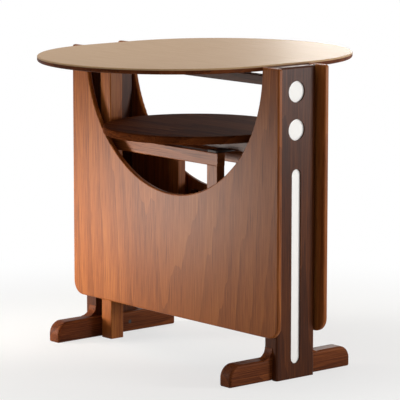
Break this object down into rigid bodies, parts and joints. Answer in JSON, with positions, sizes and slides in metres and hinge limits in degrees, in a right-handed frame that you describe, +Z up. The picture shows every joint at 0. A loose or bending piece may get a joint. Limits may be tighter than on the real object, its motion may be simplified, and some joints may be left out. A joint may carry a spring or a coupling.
{
  "type": "drop-leaf gate-leg dining table",
  "caption": "Round-ended dining table on end columns and feet, with drop leaves whose half-round cuts swing up round the top, swing-out gate legs and a round shelf.",
  "frame": {"origin": "on the floor under the middle of the top", "axes": "+Z up, X along the table from column to column, Y across the leaves (front leaf at -Y)"},
  "size_m": [0.782, 0.8038, 0.75],
  "materials": {
    "walnut_wood": "satin",
    "leaf_wood": "satin",
    "core_board": "matte",
    "pale_laminate": "satin",
    "white_laminate": "satin",
    "steel": "satin",
    "rubber": "matte",
    "glide_plastic": "matte"
  },
  "bodies": {
    "frame": {"top_core": "core_board", "top_sheet": "pale_laminate", "top_lipping": "walnut_wood", "top_rail": "walnut_wood", "top_cleats": "walnut_wood", "top_screws": "steel", "shelf": "walnut_wood", "shelf_rail": "walnut_wood", "shelf_screws": "steel", "lower_stretcher": "walnut_wood", "column_left": "walnut_wood", "column_right": "walnut_wood", "window_inlays_left": "white_laminate", "window_inlays_right": "white_laminate", "foot_left": "walnut_wood", "foot_right": "walnut_wood", "foot_glides_left": "glide_plastic", "foot_glides_right": "glide_plastic", "foot_screws_left": "steel", "foot_screws_right": "steel", "upper_pivot_plate_front": "steel", "upper_pivot_plate_back": "steel", "lower_pivot_block_front": "walnut_wood", "lower_pivot_block_back": "walnut_wood", "hinge_tongues_front": "steel", "hinge_tongues_back": "steel"},
    "leaf_front": {"leaf_front": "leaf_wood", "hinge_pins_front": "steel", "leaf_bumpers_front": "rubber", "leg_stop_front": "walnut_wood"},
    "gate_front": {"gate_leg_front": "walnut_wood", "gate_pivot_stile_front": "walnut_wood", "gate_top_rail_front": "walnut_wood", "gate_lower_rail_front": "walnut_wood", "gate_pivot_pins_front": "steel", "gate_leg_glide_front": "glide_plastic"},
    "leaf_back": {"leaf_back": "leaf_wood", "hinge_pins_back": "steel", "leaf_bumpers_back": "rubber", "leg_stop_back": "walnut_wood"},
    "gate_back": {"gate_leg_back": "walnut_wood", "gate_pivot_stile_back": "walnut_wood", "gate_top_rail_back": "walnut_wood", "gate_lower_rail_back": "walnut_wood", "gate_pivot_pins_back": "steel", "gate_leg_glide_back": "glide_plastic"}
  },
  "joints": [
    {"name": "leaf_front_hinge", "type": "hinge", "parent": "frame", "child": "leaf_front", "pos_m": [0, -0.0735, 0.74], "axis": [-1, 0, 0], "range_deg": [0, 90]},
    {"name": "leaf_back_hinge", "type": "hinge", "parent": "frame", "child": "leaf_back", "pos_m": [0, 0.0735, 0.74], "axis": [1, 0, 0], "range_deg": [0, 90]},
    {"name": "gate_front_pivot", "type": "hinge", "parent": "frame", "child": "gate_front", "pos_m": [0.1175, -0.037, 0.33], "axis": [0, 0, 1], "range_deg": [0, 80]},
    {"name": "gate_back_pivot", "type": "hinge", "parent": "frame", "child": "gate_back", "pos_m": [-0.1175, 0.037, 0.33], "axis": [0, 0, 1], "range_deg": [0, 80]}
  ],
  "couplings": [
    {"joint": "gate_front_pivot", "follows": "leaf_front_hinge", "ratio": 0.4},
    {"joint": "gate_back_pivot", "follows": "leaf_back_hinge", "ratio": 0.4}
  ]
}
